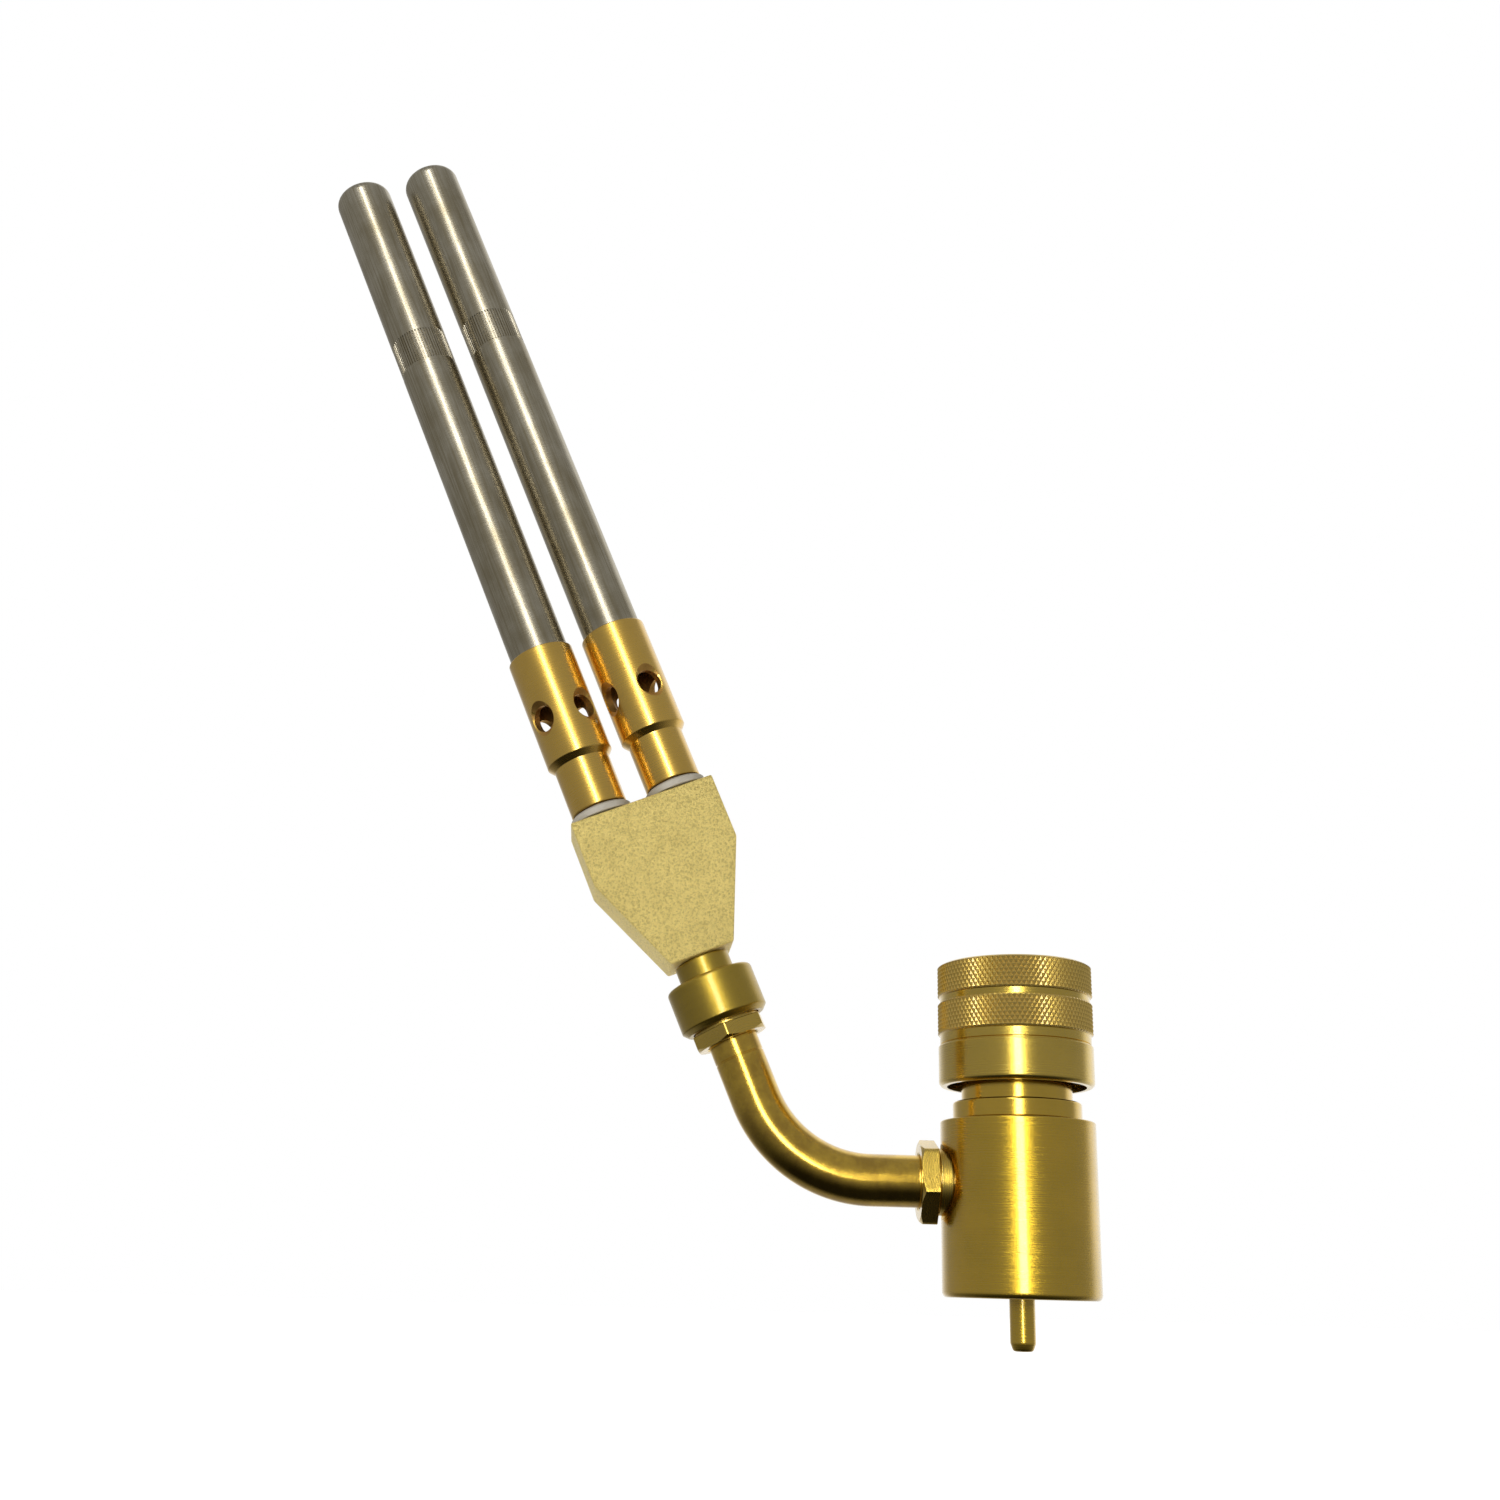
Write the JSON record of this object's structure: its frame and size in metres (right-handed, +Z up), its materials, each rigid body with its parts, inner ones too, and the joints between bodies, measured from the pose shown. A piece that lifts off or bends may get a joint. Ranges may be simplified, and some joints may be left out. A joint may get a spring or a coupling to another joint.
{
  "type": "twin-flame hand torch",
  "caption": "Brass gas hand torch that screws onto a fuel cylinder: knurled control knob, bent tube and a swivelling manifold head with twin flame tubes.",
  "frame": {"origin": "centre of the tank socket's mouth, in the plane of the barrel's lower rim", "axes": "+Z up along the barrel's axis towards the knob; the outlet and the bent tube point to -X; the torch's front faces -Y; the head leans back 23.4 degrees from +Z towards -X"},
  "size_m": [0.1719, 0.031, 0.2627],
  "materials": {
    "turned_brass": "turned and finely brushed, clear",
    "tube_brass": "drawn and turned, slightly toned",
    "burner_brass": "turned, bright",
    "cast_brass": "sandblasted casting",
    "inner_brass": "turned",
    "flame_steel": "drawn and brushed",
    "sintered_bronze": "porous sintered",
    "washer_plastic": "pale fibre",
    "seal_rubber": "smooth",
    "seat_plastic": "moulded"
  },
  "bodies": {
    "valve": {"valve_body": "turned_brass", "valve_bonnet": "turned_brass", "inlet_pin": "turned_brass", "inlet_seal": "seal_rubber", "inlet_filter": "sintered_bronze", "outlet_spigot": "tube_brass", "outlet_nut": "tube_brass", "bent_tube": "tube_brass", "swivel_flange": "inner_brass", "swivel_seal": "seal_rubber"},
    "plunger": {"valve_plunger": "inner_brass", "seat_disc": "seat_plastic"},
    "knob": {"control_knob": "turned_brass", "knob_screw": "flame_steel", "valve_stem": "inner_brass", "stem_seal": "seal_rubber"},
    "head": {"swivel_nut": "tube_brass", "swivel_sleeve": "tube_brass", "head_nipple": "tube_brass", "manifold_block": "cast_brass", "sealing_washer_left": "washer_plastic", "burner_collar_left": "burner_brass", "gas_jet_left": "inner_brass", "jet_filter_left": "sintered_bronze", "flame_tube_left": "flame_steel", "flame_holder_left": "flame_steel", "sealing_washer_right": "washer_plastic", "burner_collar_right": "burner_brass", "gas_jet_right": "inner_brass", "jet_filter_right": "sintered_bronze", "flame_tube_right": "flame_steel", "flame_holder_right": "flame_steel"}
  },
  "joints": [
    {"name": "stem_lift", "type": "slide", "parent": "valve", "child": "plunger", "axis": [0, 0, 1], "range_m": [0, 0.00175]},
    {"name": "knob_turn", "type": "hinge", "parent": "plunger", "child": "knob", "pos_m": [0, 0, 0.052], "axis": [0, 0, 1], "range_deg": [0, 630]},
    {"name": "head_swivel", "type": "hinge", "parent": "valve", "child": "head", "pos_m": [-0.05577, 0, 0.04514], "axis": [-0.3971, 0, 0.9178], "continuous": true}
  ],
  "couplings": [
    {"joint": "knob_turn", "follows": "stem_lift", "rad_per_m": 6283.2}
  ]
}
